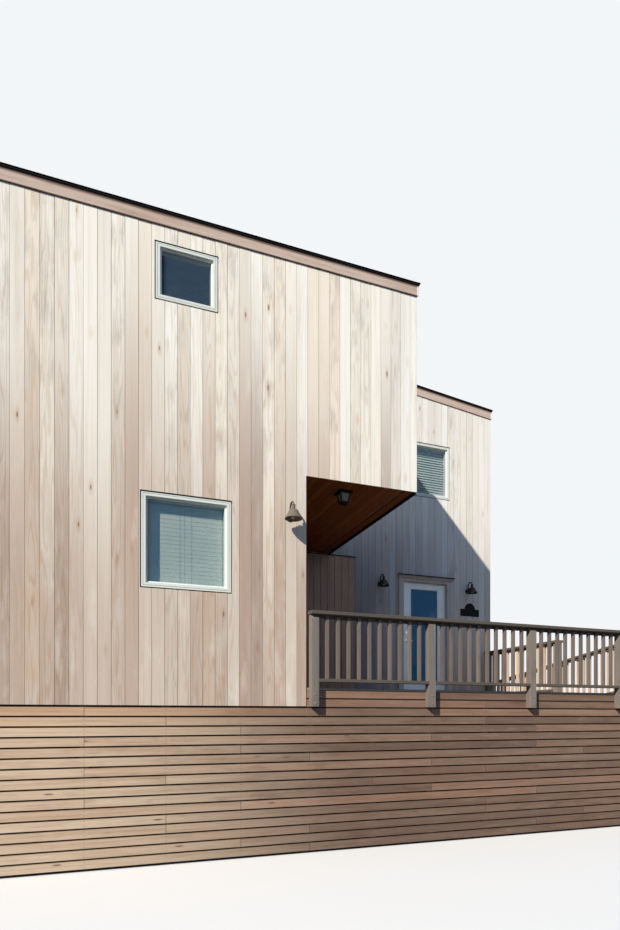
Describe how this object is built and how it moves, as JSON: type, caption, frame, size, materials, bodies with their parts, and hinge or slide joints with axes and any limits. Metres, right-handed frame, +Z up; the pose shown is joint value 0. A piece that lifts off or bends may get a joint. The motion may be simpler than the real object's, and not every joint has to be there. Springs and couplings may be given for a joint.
{
  "type": "timber beach house with a shed roof",
  "caption": "Timber house on piles with a slatted skirt: a shed-roofed main block overhangs a porch, a lower wing holds a hinged glass door, and a railed deck leads to a ramp.",
  "frame": {"origin": "centre of the foot of the middle pile in the front row, on the ground", "axes": "+X to the right along the front, +Y into the house, +Z up"},
  "size_m": [9.9555, 7.168, 8.5204],
  "materials": {
    "cedar_siding": "silvered upright cedar boards",
    "stained_boards": "red-brown stain, satin",
    "slat_wood": "rough-sawn, reddish, weathered",
    "weathered_wood": "weathered grey-brown",
    "floor_boards": "plain boards",
    "fascia_boards": "weathered pink-brown",
    "roofing": "dark membrane, matt",
    "black_metal": "black paint, satin",
    "window_paint": "off-white paint, satin",
    "door_paint": "white paint, satin",
    "window_glass": "clear, blue reflection",
    "blind_slats": "pale, matt",
    "door_steel": "satin",
    "light_bronze": "dark bronze, satin"
  },
  "bodies": {
    "house": {"piles": "weathered_wood", "beams": "weathered_wood", "ground_floor": "floor_boards", "upper_floor": "floor_boards", "porch_soffit": "stained_boards", "main_front_lower_wall": "cedar_siding", "main_front_upper_wall": "cedar_siding", "main_left_wall": "cedar_siding", "main_back_wall": "cedar_siding", "main_right_wall": "cedar_siding", "porch_side_wall": "cedar_siding", "wing_front_left_wall": "cedar_siding", "wing_front_right_wall": "cedar_siding", "wing_front_upper_wall": "cedar_siding", "wing_right_wall": "cedar_siding", "wing_back_wall": "cedar_siding", "main_roof": "roofing", "main_fascia": "fascia_boards", "main_drip_edge": "black_metal", "wing_roof": "roofing", "wing_fascia": "fascia_boards", "wing_drip_edge": "black_metal", "front_window_frames": "window_paint", "side_window_frames": "window_paint", "back_window_frames": "window_paint", "ground_window_panes": "window_glass", "upper_window_panes": "window_glass", "window_blinds": "blind_slats", "entry_door_frame": "door_paint", "entry_door_hinges": "door_steel", "closet_door": "stained_boards", "wall_lights": "light_bronze", "porch_lantern": "black_metal", "lantern_glass": "window_glass", "house_plaque": "black_metal", "deck_boards": "weathered_wood", "deck_rims": "weathered_wood", "deck_joists": "weathered_wood", "skirt_front": "slat_wood", "skirt_left": "slat_wood", "skirt_right": "slat_wood", "skirt_back": "slat_wood", "skirt_landing": "slat_wood", "skirt_battens": "weathered_wood", "rail_posts": "weathered_wood", "front_balusters": "weathered_wood", "side_balusters": "weathered_wood", "ramp_balusters": "weathered_wood", "guard_rails": "weathered_wood", "rail_caps": "weathered_wood", "ramp_boards": "weathered_wood", "ramp_stringers": "weathered_wood"},
    "entry_door": {"entry_door_leaf": "door_paint", "entry_door_glass": "window_glass", "entry_door_handle": "door_steel"}
  },
  "joints": [
    {"name": "entry_door_hinge", "type": "hinge", "parent": "house", "child": "entry_door", "pos_m": [4.993, 2.7375, 2], "axis": [0, 0, -1], "range_deg": [0, 100]}
  ]
}
